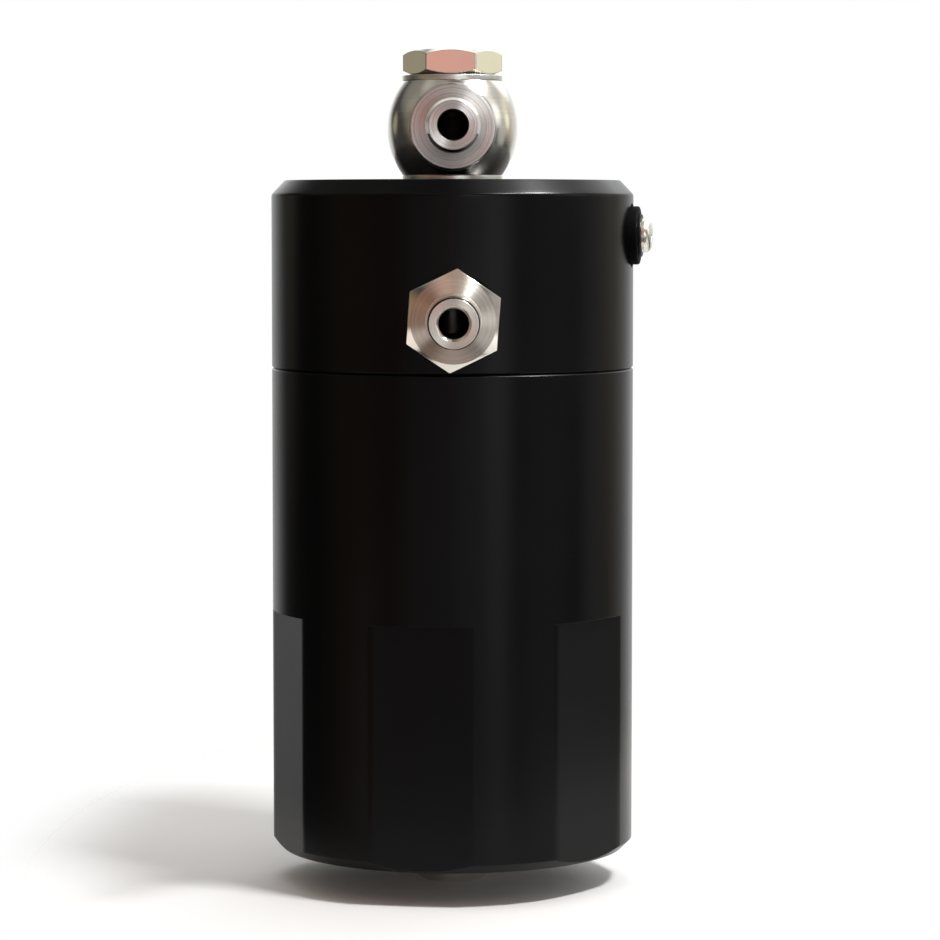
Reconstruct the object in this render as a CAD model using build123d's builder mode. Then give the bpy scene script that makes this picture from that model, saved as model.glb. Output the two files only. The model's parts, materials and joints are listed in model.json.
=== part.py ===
from build123d import *
import math
import os

# Oil catch can: a head with a banjo outlet on top and a hose inlet in front, over a bowl that screws on.
# Millimetres, +Z up along the can's axis. The origin is on that axis, at the drain plug's lower face.
# The front, where both hose tails point, is -Y. Angles round the axis go from the front towards +X.

# Body
BODY_DIAMETER = 80.0
HEAD_HEIGHT = 41.3
BOWL_HEIGHT = 106.6
HEAD_TOP_CHAMFER = 3.0
BOWL_FOOT_CHAMFER = 2.0
JOINT_CHAMFER = 0.4
HEAD_TOP_WALL = 16.0
BOWL_WALL = 5.5
BOWL_FLOOR = 8.0
BOWL_FLOOR_FILLET = 4.0
CEILING_FILLET = 2.0

# Flats for a strap wrench, round the lower half of the bowl
FLAT_COUNT = 6
ACROSS_FLATS = 76.8
FLAT_HEIGHT = 53.0
FLAT_TURN = -10.4

# Screwed joint between the head's spigot and the bowl's mouth
MOUTH_WALL = 4.0
SPIGOT_WALL = 4.5
SPIGOT_LENGTH = 14.0
SPIGOT_LEAD = 1.0
MOUTH_RELIEF = 1.0
MOUTH_LEAD = 0.5
THREAD_CLEARANCE = 0.15

# Ring seal in the spigot's groove
SEAL_GROOVE_DEPTH = 1.7
SEAL_GROOVE_WIDTH = 2.6
SEAL_GROOVE_DROP = 2.6
SEAL_CLEARANCE = 0.08
SEAL_CORNER = 0.6

# Threaded ports of the outlet and the inlet
PORT_DIAMETER = 14.0
FASTENER_CLEARANCE = 0.05
HEXAGON = 19.0
HEXAGON_FACE_SHARE = 0.95
HEXAGON_CONE_ANGLE = 30.0

# Banjo outlet
BANJO_DIAMETER = 28.7
BANJO_SEAT_DIAMETER = 21.8
BANJO_HEIGHT = 20.7
BANJO_CLEARANCE = 0.15
BANJO_NECK_DIAMETER = 19.0
BANJO_NECK_REACH = 17.0
BANJO_NECK_CHAMFER = 0.4
BANJO_TAIL_REACH = 33.0
BANJO_TAIL_ROOT = 9.4
BANJO_TAIL_CREST = 11.7
BANJO_TAIL_TIP = 10.6
BANJO_TAIL_PITCH = 4.2
BANJO_TAIL_BORE = 6.5
BANJO_WASHER_DIAMETER = 22.0
LOWER_WASHER_THICKNESS = 1.1
UPPER_WASHER_THICKNESS = 1.2

# Banjo bolt
BOLT_HEAD_HEIGHT = 5.6
BOLT_HEAD_TURN = -2.0
BOLT_ENGAGEMENT = 10.0
BOLT_END_CHAMFER = 1.0
BOLT_WAIST_DIAMETER = 11.2
BOLT_WAIST_LENGTH = 11.0
BOLT_WAIST_TAPER = 1.4
BOLT_BORE = 7.5
BOLT_BORE_ROOF = 4.0
BOLT_CROSS_HOLE = 5.0

# Inlet union
INLET_RISE = 11.7
SPOT_FACE_DIAMETER = 20.0
SPOT_FACE_MARGIN = 0.15
INLET_WASHER_DIAMETER = 18.4
INLET_WASHER_THICKNESS = 1.5
INLET_HEX_THICKNESS = 9.5
INLET_HEX_TURN = 26.0
INLET_THREAD_LENGTH = 8.0
INLET_THREAD_CHAMFER = 1.0
INLET_SHOULDER_RISE = 1.2
INLET_SHOULDER_TOP = 11.4
INLET_TAIL_LENGTH = 18.4
INLET_TAIL_ROOT = 8.8
INLET_TAIL_CREST = 10.8
INLET_TAIL_TIP = 10.2
INLET_TAIL_PITCH = 4.4
INLET_TAIL_BORE = 6.2
INLET_BORE_CHAMFER = 0.5

# Barbs of both hose tails
BARB_COUNT = 3
BARB_LAND = 0.6

# Mounting point on the side of the head
MOUNT_ANGLE = 81.0
MOUNT_DROP = 12.1
MOUNT_POCKET_DIAMETER = 14.0
MOUNT_POCKET_DEPTH = 1.5
MOUNT_HOLE_DEPTH = 10.0
ISOLATOR_DIAMETER = 12.8
ISOLATOR_THICKNESS = 3.1
ISOLATOR_CHAMFER = 0.5
MOUNT_WASHER_DIAMETER = 9.4
MOUNT_WASHER_THICKNESS = 0.6
MOUNT_WASHER_CHAMFER = 0.3
SCREW_DIAMETER = 4.0
SCREW_REACH = 9.0
SCREW_HEAD_DIAMETER = 7.6
SCREW_HEAD_HEIGHT = 2.0
SCREW_HEAD_TOP = 3.6
SCREW_HEAD_RIM = 0.5
SCREW_SOCKET = 2.5
SCREW_SOCKET_DEPTH = 1.3
SCREW_CLEARANCE = 0.15

# Drain plug
DRAIN_THREAD = 12.0
DRAIN_HEXAGON = 14.0
DRAIN_HEX_TURN = 11.5
DRAIN_HEAD_HEIGHT = 6.2
DRAIN_REACH = 7.0
DRAIN_END_CHAMFER = 1.0
DRAIN_WASHER_DIAMETER = 18.0
DRAIN_WASHER_THICKNESS = 1.5

# Outlet tube and the baffle pack that hangs on it
TUBE_DIAMETER = 16.0
TUBE_BORE = 12.0
TUBE_SOCKET_DEPTH = 5.0
TUBE_DROP = 48.0
TUBE_CLEARANCE = 0.05
COLLAR_DIAMETER = 22.0
COLLAR_THICKNESS = 2.0
PACK_RISE = 4.0
BAFFLE_THICKNESS = 2.0
BAFFLE_CLEARANCE = 0.3
BAFFLE_HOLE = 6.0
BAFFLE_HOLE_COUNT = 8
BAFFLE_INNER_EDGE = 3.5
BAFFLE_OUTER_EDGE = 3.5
MESH_THICKNESS = 13.0
CLIP_THICKNESS = 1.2
CLIP_GROOVE_WIDTH = 1.3
CLIP_GROOVE_DEPTH = 0.8
CLIP_BAND = 2.6
CLIP_OFFSET = 0.5
CLIP_GAP = 6.0
CLIP_LUG_DIAMETER = 3.6
CLIP_LUG_HOLE = 1.6

# Radii and levels worked out from the sizes above
BODY_RADIUS = BODY_DIAMETER / 2
MOUTH_RADIUS = BODY_RADIUS - MOUTH_WALL
BOWL_BORE_RADIUS = BODY_RADIUS - BOWL_WALL
SPIGOT_RADIUS = MOUTH_RADIUS - THREAD_CLEARANCE
CAVITY_RADIUS = SPIGOT_RADIUS - SPIGOT_WALL
PORT_RADIUS = PORT_DIAMETER / 2
TUBE_RADIUS = TUBE_DIAMETER / 2

BOWL_UNDERSIDE = DRAIN_HEAD_HEIGHT + DRAIN_WASHER_THICKNESS
BOWL_FLOOR_LEVEL = BOWL_UNDERSIDE + BOWL_FLOOR
JOINT_LEVEL = BOWL_UNDERSIDE + BOWL_HEIGHT
SPIGOT_END = JOINT_LEVEL - SPIGOT_LENGTH
MOUTH_END = SPIGOT_END - MOUTH_RELIEF
SEAL_LEVEL = JOINT_LEVEL - SEAL_GROOVE_DROP
HEAD_TOP = JOINT_LEVEL + HEAD_HEIGHT
CEILING_LEVEL = HEAD_TOP - HEAD_TOP_WALL

BANJO_BASE = HEAD_TOP + LOWER_WASHER_THICKNESS
BANJO_MIDDLE = BANJO_BASE + BANJO_HEIGHT / 2
BANJO_TOP = BANJO_BASE + BANJO_HEIGHT
BOLT_SEAT = BANJO_TOP + UPPER_WASHER_THICKNESS
BOLT_END = HEAD_TOP - BOLT_ENGAGEMENT

INLET_LEVEL = JOINT_LEVEL + INLET_RISE
INLET_SEAT = math.sqrt(BODY_RADIUS**2 - (SPOT_FACE_DIAMETER / 2) ** 2) - SPOT_FACE_MARGIN
MOUNT_LEVEL = HEAD_TOP - MOUNT_DROP

PACK_TOP = JOINT_LEVEL + PACK_RISE
UPPER_BAFFLE_BASE = PACK_TOP - BAFFLE_THICKNESS
MESH_BASE = UPPER_BAFFLE_BASE - MESH_THICKNESS
LOWER_BAFFLE_BASE = MESH_BASE - BAFFLE_THICKNESS

# Working planes: the outward normal of each is the way its fitting points
FRONT = Vector(0, -1, 0)
RIGHT = Vector(1, 0, 0)
INLET_FACE = Plane(origin=(0, -BODY_RADIUS, INLET_LEVEL), x_dir=RIGHT, z_dir=FRONT)
INLET_SEAT_PLANE = INLET_FACE.offset(INLET_SEAT - BODY_RADIUS)
BANJO_TAIL_PLANE = Plane(origin=(0, 0, BANJO_MIDDLE), x_dir=RIGHT, z_dir=FRONT)
MOUNT_WAY = FRONT.rotate(Axis.Z, MOUNT_ANGLE)
MOUNT_POINT = MOUNT_WAY * BODY_RADIUS + Vector(0, 0, MOUNT_LEVEL)
MOUNT_FACE = Plane(origin=MOUNT_POINT, x_dir=(0, 0, 1), z_dir=MOUNT_WAY)
MOUNT_SEAT_PLANE = MOUNT_FACE.offset(-MOUNT_POCKET_DEPTH)


def section_of(plane):
    """Plane through the normal of another one: its x is a radius, its y is the height along that normal."""
    return Plane(origin=plane.origin, x_dir=plane.x_dir, z_dir=plane.x_dir.cross(plane.z_dir))


def turned(plane, points, mode=Mode.ADD):
    """Turn a closed outline of (radius, height) points once about the normal of a plane."""
    with BuildSketch(section_of(plane)) as outline:
        with BuildLine():
            Polyline(*points, close=True)
        make_face()
    revolve(outline.sketch, axis=Axis(plane.origin, plane.z_dir), mode=mode)


def ring(plane, outer_diameter, bore_diameter, thickness):
    """Flat round washer or disc standing on a plane."""
    with BuildSketch(plane) as face:
        Circle(outer_diameter / 2)
        Circle(bore_diameter / 2, mode=Mode.SUBTRACT)
    extrude(face.sketch, amount=thickness)


def hexagon_bar(plane, across_flats, height, turn):
    """Hexagon prism on a plane, with its corners turned off by a cone at both ends."""
    with BuildSketch(plane) as face:
        RegularPolygon(across_flats / 2, side_count=6, major_radius=False, rotation=turn)
    extrude(face.sketch, amount=height)
    corner = across_flats / 2 / math.cos(math.pi / 6)
    end = across_flats / 2 * HEXAGON_FACE_SHARE
    drop = (corner - end) * math.tan(math.radians(HEXAGON_CONE_ANGLE))
    outline = [(0, 0), (end, 0), (corner, drop), (corner, height - drop), (end, height), (0, height)]
    turned(plane, outline, mode=Mode.INTERSECT)


def barbed_outline(start, end, root, crest, tip, pitch):
    """Outside of a hose tail as (radius, height) points: a plain root, then barbs with equal crests."""
    first = end - BARB_COUNT * pitch
    points = [(root / 2, start), (root / 2, first)]
    for index in range(BARB_COUNT):
        back = first + index * pitch
        front_diameter = tip if index == BARB_COUNT - 1 else root
        points += [(crest / 2, back), (crest / 2, back + BARB_LAND), (front_diameter / 2, back + pitch)]
    return points


# Head: cap with the screwed spigot, the outlet and inlet ports and the mounting pocket
with BuildPart() as head:
    turned(
        Plane.XY,
        [
            (0, HEAD_TOP),
            (BODY_RADIUS - HEAD_TOP_CHAMFER, HEAD_TOP),
            (BODY_RADIUS, HEAD_TOP - HEAD_TOP_CHAMFER),
            (BODY_RADIUS, JOINT_LEVEL + JOINT_CHAMFER),
            (BODY_RADIUS - JOINT_CHAMFER, JOINT_LEVEL),
            (SPIGOT_RADIUS, JOINT_LEVEL),
            (SPIGOT_RADIUS, SPIGOT_END + SPIGOT_LEAD),
            (SPIGOT_RADIUS - SPIGOT_LEAD, SPIGOT_END),
            (CAVITY_RADIUS, SPIGOT_END),
            (CAVITY_RADIUS, CEILING_LEVEL),
            (0, CEILING_LEVEL),
        ],
    )
    ceiling = head.faces().filter_by(Plane.XY).sort_by(Axis.Z)[-2]
    fillet(ceiling.edges(), CEILING_FILLET)
    with BuildSketch(Plane.XZ):
        with Locations((SPIGOT_RADIUS, SEAL_LEVEL)):
            Rectangle(2 * SEAL_GROOVE_DEPTH, SEAL_GROOVE_WIDTH)
    revolve(axis=Axis.Z, mode=Mode.SUBTRACT)
    with Locations((0, 0, HEAD_TOP)):
        Hole(PORT_RADIUS, depth=HEAD_TOP_WALL)
    with Locations((0, 0, CEILING_LEVEL)):
        Hole(TUBE_RADIUS + TUBE_CLEARANCE, depth=TUBE_SOCKET_DEPTH)
    with Locations(INLET_FACE):
        CounterBoreHole(PORT_RADIUS, SPOT_FACE_DIAMETER / 2, BODY_RADIUS - INLET_SEAT, depth=BODY_RADIUS)
    with Locations(MOUNT_FACE):
        CounterBoreHole(
            SCREW_DIAMETER / 2 + FASTENER_CLEARANCE,
            MOUNT_POCKET_DIAMETER / 2,
            MOUNT_POCKET_DEPTH,
            depth=MOUNT_POCKET_DEPTH + MOUNT_HOLE_DEPTH,
        )

# Bowl: cup with a screwed mouth, a drain hole in its floor and six flats
with BuildPart() as bowl:
    turned(
        Plane.XY,
        [
            (0, BOWL_UNDERSIDE),
            (BODY_RADIUS - BOWL_FOOT_CHAMFER, BOWL_UNDERSIDE),
            (BODY_RADIUS, BOWL_UNDERSIDE + BOWL_FOOT_CHAMFER),
            (BODY_RADIUS, JOINT_LEVEL - JOINT_CHAMFER),
            (BODY_RADIUS - JOINT_CHAMFER, JOINT_LEVEL),
            (MOUTH_RADIUS + MOUTH_LEAD, JOINT_LEVEL),
            (MOUTH_RADIUS, JOINT_LEVEL - MOUTH_LEAD),
            (MOUTH_RADIUS, MOUTH_END),
            (BOWL_BORE_RADIUS, MOUTH_END - (BOWL_WALL - MOUTH_WALL)),
            (BOWL_BORE_RADIUS, BOWL_FLOOR_LEVEL),
            (0, BOWL_FLOOR_LEVEL),
        ],
    )
    bowl_floor = bowl.faces().filter_by(Plane.XY).sort_by(Axis.Z)[1]
    fillet(bowl_floor.edges(), BOWL_FLOOR_FILLET)
    with BuildSketch(Plane.XY.offset(BOWL_UNDERSIDE)):
        Circle(BODY_DIAMETER)
        RegularPolygon(
            ACROSS_FLATS / 2,
            side_count=FLAT_COUNT,
            major_radius=False,
            rotation=FLAT_TURN,
            mode=Mode.SUBTRACT,
        )
    extrude(amount=FLAT_HEIGHT, mode=Mode.SUBTRACT)
    with Locations((0, 0, BOWL_FLOOR_LEVEL)):
        Hole(DRAIN_THREAD / 2, depth=BOWL_FLOOR)

# Ring seal, pressed flat between the spigot's groove and the bowl's mouth
with BuildPart() as bowl_seal:
    seal_inside = SPIGOT_RADIUS - SEAL_GROOVE_DEPTH + SEAL_CLEARANCE
    seal_outside = MOUTH_RADIUS - SEAL_CLEARANCE
    with BuildSketch(Plane.XZ) as seal_section:
        with Locations(((seal_inside + seal_outside) / 2, SEAL_LEVEL)):
            Rectangle(seal_outside - seal_inside, SEAL_GROOVE_WIDTH - 2 * SEAL_CLEARANCE)
        chamfer(seal_section.vertices(), SEAL_CORNER)
    revolve(axis=Axis.Z)

# Banjo bolt: drilled up its middle, with a waist and cross holes where the banjo's tail opens into it
with BuildPart() as banjo_bolt:
    hexagon_bar(Plane.XY.offset(BOLT_SEAT), HEXAGON, BOLT_HEAD_HEIGHT, BOLT_HEAD_TURN)
    bolt_radius = PORT_RADIUS - FASTENER_CLEARANCE
    waist_radius = BOLT_WAIST_DIAMETER / 2
    waist_low = BANJO_MIDDLE - BOLT_WAIST_LENGTH / 2
    waist_high = BANJO_MIDDLE + BOLT_WAIST_LENGTH / 2
    turned(
        Plane.XY,
        [
            (0, BOLT_END),
            (bolt_radius - BOLT_END_CHAMFER, BOLT_END),
            (bolt_radius, BOLT_END + BOLT_END_CHAMFER),
            (bolt_radius, waist_low - BOLT_WAIST_TAPER),
            (waist_radius, waist_low),
            (waist_radius, waist_high),
            (bolt_radius, waist_high + BOLT_WAIST_TAPER),
            (bolt_radius, BOLT_SEAT),
            (0, BOLT_SEAT),
        ],
    )
    with Locations((0, 0, BOLT_END)):
        Hole(BOLT_BORE / 2, depth=BANJO_MIDDLE + BOLT_BORE_ROOF - BOLT_END)
    for cross_plane in (BANJO_TAIL_PLANE, Plane(BANJO_TAIL_PLANE.origin, z_dir=RIGHT)):
        with Locations(cross_plane.offset(PORT_RADIUS)):
            Hole(BOLT_CROSS_HOLE / 2, depth=PORT_DIAMETER)

# Washers above and below the banjo
with BuildPart() as banjo_upper_washer:
    ring(Plane.XY.offset(BANJO_TOP), BANJO_WASHER_DIAMETER, PORT_DIAMETER, UPPER_WASHER_THICKNESS)

with BuildPart() as banjo_lower_washer:
    ring(Plane.XY.offset(HEAD_TOP), BANJO_WASHER_DIAMETER, PORT_DIAMETER, LOWER_WASHER_THICKNESS)

# Banjo union: barrel turned to an arc, with a neck and a barbed hose tail that opens into its bore
with BuildPart() as banjo_union:
    with BuildSketch(Plane.XZ):
        with BuildLine():
            ThreePointArc(
                (BANJO_SEAT_DIAMETER / 2, BANJO_BASE),
                (BANJO_DIAMETER / 2, BANJO_MIDDLE),
                (BANJO_SEAT_DIAMETER / 2, BANJO_TOP),
            )
            Polyline(
                (BANJO_SEAT_DIAMETER / 2, BANJO_TOP),
                (0, BANJO_TOP),
                (0, BANJO_BASE),
                (BANJO_SEAT_DIAMETER / 2, BANJO_BASE),
            )
        make_face()
    revolve(axis=Axis.Z)
    turned(
        BANJO_TAIL_PLANE,
        [
            (0, 0),
            (BANJO_NECK_DIAMETER / 2, 0),
            (BANJO_NECK_DIAMETER / 2, BANJO_NECK_REACH - BANJO_NECK_CHAMFER),
            (BANJO_NECK_DIAMETER / 2 - BANJO_NECK_CHAMFER, BANJO_NECK_REACH),
        ]
        + barbed_outline(
            BANJO_NECK_REACH,
            BANJO_TAIL_REACH,
            BANJO_TAIL_ROOT,
            BANJO_TAIL_CREST,
            BANJO_TAIL_TIP,
            BANJO_TAIL_PITCH,
        )
        + [(0, BANJO_TAIL_REACH)],
    )
    with Locations((0, 0, BANJO_TOP)):
        Hole(PORT_RADIUS + BANJO_CLEARANCE, depth=BANJO_HEIGHT)
    with Locations(BANJO_TAIL_PLANE.offset(BANJO_TAIL_REACH)):
        Hole(BANJO_TAIL_BORE / 2, depth=BANJO_TAIL_REACH)

# Inlet union: hexagon with a thread behind it and a shouldered, barbed hose tail in front
with BuildPart() as inlet_union:
    inlet_hex_plane = INLET_SEAT_PLANE.offset(INLET_WASHER_THICKNESS)
    hexagon_bar(inlet_hex_plane, HEXAGON, INLET_HEX_THICKNESS, INLET_HEX_TURN)
    inlet_thread_radius = PORT_RADIUS - FASTENER_CLEARANCE
    inlet_shoulder_end = INLET_HEX_THICKNESS + INLET_SHOULDER_RISE
    inlet_tail_end = INLET_HEX_THICKNESS + INLET_TAIL_LENGTH
    turned(
        inlet_hex_plane,
        [
            (0, -INLET_THREAD_LENGTH),
            (inlet_thread_radius - INLET_THREAD_CHAMFER, -INLET_THREAD_LENGTH),
            (inlet_thread_radius, INLET_THREAD_CHAMFER - INLET_THREAD_LENGTH),
            (inlet_thread_radius, 0),
            (HEXAGON / 2 * HEXAGON_FACE_SHARE, INLET_HEX_THICKNESS),
            (INLET_SHOULDER_TOP / 2, inlet_shoulder_end),
        ]
        + barbed_outline(
            inlet_shoulder_end,
            inlet_tail_end,
            INLET_TAIL_ROOT,
            INLET_TAIL_CREST,
            INLET_TAIL_TIP,
            INLET_TAIL_PITCH,
        )
        + [(0, inlet_tail_end)],
    )
    with Locations(inlet_hex_plane.offset(inlet_tail_end)):
        Hole(INLET_TAIL_BORE / 2, depth=inlet_tail_end + INLET_THREAD_LENGTH)
    inlet_mouth = inlet_union.edges().filter_by(GeomType.CIRCLE).group_by(Axis.Y)[0].sort_by(SortBy.RADIUS)[0]
    chamfer(inlet_mouth, INLET_BORE_CHAMFER)

with BuildPart() as inlet_washer:
    ring(INLET_SEAT_PLANE, INLET_WASHER_DIAMETER, PORT_DIAMETER, INLET_WASHER_THICKNESS)

# Mounting point: soft disc in the pocket, washer and button-head screw
with BuildPart() as mount_isolator:
    ring(MOUNT_SEAT_PLANE, ISOLATOR_DIAMETER, SCREW_DIAMETER + 2 * SCREW_CLEARANCE, ISOLATOR_THICKNESS)
    isolator_rim = mount_isolator.faces().sort_by(Axis(MOUNT_FACE.origin, MOUNT_WAY))[-1].outer_wire()
    chamfer(isolator_rim.edges(), ISOLATOR_CHAMFER)

mount_washer_plane = MOUNT_SEAT_PLANE.offset(ISOLATOR_THICKNESS)
with BuildPart() as mount_washer:
    ring(
        mount_washer_plane,
        MOUNT_WASHER_DIAMETER,
        SCREW_DIAMETER + 2 * SCREW_CLEARANCE,
        MOUNT_WASHER_THICKNESS,
    )
    washer_rim = mount_washer.faces().sort_by(Axis(MOUNT_FACE.origin, MOUNT_WAY))[-1].outer_wire()
    chamfer(washer_rim.edges(), MOUNT_WASHER_CHAMFER)

screw_head_plane = mount_washer_plane.offset(MOUNT_WASHER_THICKNESS)
with BuildPart() as mount_screw:
    screw_end = -(MOUNT_WASHER_THICKNESS + ISOLATOR_THICKNESS + SCREW_REACH)
    with BuildSketch(section_of(screw_head_plane)):
        with BuildLine():
            TangentArc(
                (SCREW_HEAD_DIAMETER / 2, SCREW_HEAD_RIM),
                (SCREW_HEAD_TOP / 2, SCREW_HEAD_HEIGHT),
                tangent=(0, 1),
            )
            Polyline(
                (SCREW_HEAD_TOP / 2, SCREW_HEAD_HEIGHT),
                (0, SCREW_HEAD_HEIGHT),
                (0, screw_end),
                (SCREW_DIAMETER / 2, screw_end),
                (SCREW_DIAMETER / 2, 0),
                (SCREW_HEAD_DIAMETER / 2, 0),
                (SCREW_HEAD_DIAMETER / 2, SCREW_HEAD_RIM),
            )
        make_face()
    revolve(axis=Axis(screw_head_plane.origin, screw_head_plane.z_dir))
    with BuildSketch(screw_head_plane.offset(SCREW_HEAD_HEIGHT)):
        RegularPolygon(SCREW_SOCKET / 2, side_count=6, major_radius=False)
    extrude(amount=-SCREW_SOCKET_DEPTH, mode=Mode.SUBTRACT)

# Drain plug, which the can stands on, and its washer
with BuildPart() as drain_plug:
    hexagon_bar(Plane.XY, DRAIN_HEXAGON, DRAIN_HEAD_HEIGHT, DRAIN_HEX_TURN)
    drain_radius = DRAIN_THREAD / 2 - THREAD_CLEARANCE
    drain_end = BOWL_UNDERSIDE + DRAIN_REACH
    turned(
        Plane.XY,
        [
            (0, DRAIN_HEAD_HEIGHT),
            (drain_radius, DRAIN_HEAD_HEIGHT),
            (drain_radius, drain_end - DRAIN_END_CHAMFER),
            (drain_radius - DRAIN_END_CHAMFER, drain_end),
            (0, drain_end),
        ],
    )

with BuildPart() as drain_washer:
    ring(Plane.XY.offset(DRAIN_HEAD_HEIGHT), DRAIN_WASHER_DIAMETER, DRAIN_THREAD, DRAIN_WASHER_THICKNESS)

# Outlet tube: fixed in the head under the outlet port, with a collar over the baffle pack and a clip groove
with BuildPart() as outlet_tube:
    tube_top = CEILING_LEVEL + TUBE_SOCKET_DEPTH
    tube_end = CEILING_LEVEL - TUBE_DROP
    clip_groove_floor = TUBE_RADIUS - CLIP_GROOVE_DEPTH
    turned(
        Plane.XY,
        [
            (TUBE_BORE / 2, tube_top),
            (TUBE_RADIUS, tube_top),
            (TUBE_RADIUS, PACK_TOP + COLLAR_THICKNESS),
            (COLLAR_DIAMETER / 2, PACK_TOP + COLLAR_THICKNESS),
            (COLLAR_DIAMETER / 2, PACK_TOP),
            (TUBE_RADIUS, PACK_TOP),
            (TUBE_RADIUS, LOWER_BAFFLE_BASE),
            (clip_groove_floor, LOWER_BAFFLE_BASE),
            (clip_groove_floor, LOWER_BAFFLE_BASE - CLIP_GROOVE_WIDTH),
            (TUBE_RADIUS, LOWER_BAFFLE_BASE - CLIP_GROOVE_WIDTH),
            (TUBE_RADIUS, tube_end),
            (TUBE_BORE / 2, tube_end),
        ],
    )

# Baffle pack: a plate drilled near the tube, the mesh, and a plate drilled near the rim
pack_diameter = 2 * (CAVITY_RADIUS - BAFFLE_CLEARANCE)
pack_bore = TUBE_DIAMETER + 2 * TUBE_CLEARANCE
upper_hole_circle = COLLAR_DIAMETER / 2 + BAFFLE_INNER_EDGE + BAFFLE_HOLE / 2
lower_hole_circle = pack_diameter / 2 - BAFFLE_OUTER_EDGE - BAFFLE_HOLE / 2

with BuildPart() as upper_baffle:
    ring(Plane.XY.offset(UPPER_BAFFLE_BASE), pack_diameter, pack_bore, BAFFLE_THICKNESS)
    with Locations(Plane.XY.offset(PACK_TOP)):
        with PolarLocations(upper_hole_circle, BAFFLE_HOLE_COUNT):
            Hole(BAFFLE_HOLE / 2, depth=BAFFLE_THICKNESS)

with BuildPart() as mesh_pad:
    ring(Plane.XY.offset(MESH_BASE), pack_diameter, pack_bore, MESH_THICKNESS)

with BuildPart() as lower_baffle:
    ring(Plane.XY.offset(LOWER_BAFFLE_BASE), pack_diameter, pack_bore, BAFFLE_THICKNESS)
    with Locations(Plane.XY.offset(MESH_BASE)):
        with PolarLocations(lower_hole_circle, BAFFLE_HOLE_COUNT):
            Hole(BAFFLE_HOLE / 2, depth=BAFFLE_THICKNESS)

# Retaining clip: open ring in the tube's groove, with two drilled lugs
with BuildPart() as retaining_clip:
    clip_inside = TUBE_RADIUS - CLIP_GROOVE_DEPTH + TUBE_CLEARANCE
    clip_outside = clip_inside + CLIP_BAND
    lug_reach = clip_inside + CLIP_LUG_DIAMETER / 2
    lug_side = (CLIP_GAP + CLIP_LUG_DIAMETER) / 2
    with BuildSketch(Plane.XY.offset(LOWER_BAFFLE_BASE - CLIP_THICKNESS)):
        with Locations((0, CLIP_OFFSET)):
            Circle(clip_outside)
        with Locations((-lug_side, -lug_reach), (lug_side, -lug_reach)):
            Circle(CLIP_LUG_DIAMETER / 2)
        Circle(clip_inside, mode=Mode.SUBTRACT)
        with Locations((0, -clip_outside)):
            Rectangle(CLIP_GAP, 2 * clip_outside, mode=Mode.SUBTRACT)
        with Locations((-lug_side, -lug_reach), (lug_side, -lug_reach)):
            Circle(CLIP_LUG_HOLE / 2, mode=Mode.SUBTRACT)
    extrude(amount=CLIP_THICKNESS)

pieces = {
    "head": head,
    "bowl": bowl,
    "bowl_seal": bowl_seal,
    "banjo_bolt": banjo_bolt,
    "banjo_upper_washer": banjo_upper_washer,
    "banjo_union": banjo_union,
    "banjo_lower_washer": banjo_lower_washer,
    "inlet_union": inlet_union,
    "inlet_washer": inlet_washer,
    "mount_isolator": mount_isolator,
    "mount_washer": mount_washer,
    "mount_screw": mount_screw,
    "drain_plug": drain_plug,
    "drain_washer": drain_washer,
    "outlet_tube": outlet_tube,
    "upper_baffle": upper_baffle,
    "mesh_pad": mesh_pad,
    "lower_baffle": lower_baffle,
    "retaining_clip": retaining_clip,
}
os.makedirs("parts", exist_ok=True)
for name, piece in pieces.items():
    piece.part.label = name
    export_step(piece.part, f"parts/{name}.step")
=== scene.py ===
import json
import math
from collections import namedtuple

import bmesh
import bpy
import numpy as np
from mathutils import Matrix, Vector


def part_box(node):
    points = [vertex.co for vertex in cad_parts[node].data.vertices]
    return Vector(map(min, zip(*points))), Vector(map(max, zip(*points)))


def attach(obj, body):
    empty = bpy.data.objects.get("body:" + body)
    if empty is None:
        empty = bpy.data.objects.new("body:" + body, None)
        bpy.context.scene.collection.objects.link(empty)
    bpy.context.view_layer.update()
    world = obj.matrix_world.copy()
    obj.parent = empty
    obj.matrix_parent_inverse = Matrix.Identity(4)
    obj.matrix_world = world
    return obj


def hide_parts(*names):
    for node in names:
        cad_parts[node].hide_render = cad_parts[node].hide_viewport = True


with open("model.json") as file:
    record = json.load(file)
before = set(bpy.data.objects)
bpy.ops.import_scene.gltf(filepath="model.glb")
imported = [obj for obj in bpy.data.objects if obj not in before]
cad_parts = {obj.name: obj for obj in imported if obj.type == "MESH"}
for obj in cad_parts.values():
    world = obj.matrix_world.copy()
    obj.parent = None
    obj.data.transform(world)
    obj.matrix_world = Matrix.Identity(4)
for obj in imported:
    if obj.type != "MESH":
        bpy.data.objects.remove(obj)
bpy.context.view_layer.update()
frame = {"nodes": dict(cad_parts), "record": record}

# Oil catch can in metres: a black head and bowl, steel fittings with turned faces, rubber discs and seals.
# A name that ends in STEPS says how many points a curve, a circle or a stretch of one has.
MM = 0.001
FULL_TURN = 2 * math.pi

# Places, read from the solids
head_low, head_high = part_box("head")
bowl_low, bowl_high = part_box("bowl")
banjo_low, banjo_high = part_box("banjo_union")
bolt_low, bolt_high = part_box("banjo_bolt")
inlet_low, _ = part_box("inlet_union")
plug_low, plug_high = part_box("drain_plug")
MOUNTS = {mount["name"]: mount for mount in frame["record"]["mounts"]}
BODY_RADIUS = head_high.x
JOINT_LEVEL = bowl_high.z
BANJO_MIDDLE = (banjo_low.z + banjo_high.z) / 2
INLET_LEVEL = MOUNTS["inlet_hose_tail"]["pos_m"][2]
BOLT_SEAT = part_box("banjo_upper_washer")[1].z
TAIL_END = -banjo_low.y
INLET_SEAT = -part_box("inlet_washer")[1].y
INLET_HEX_BACK = -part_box("inlet_washer")[0].y
INLET_END = -inlet_low.y

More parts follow.
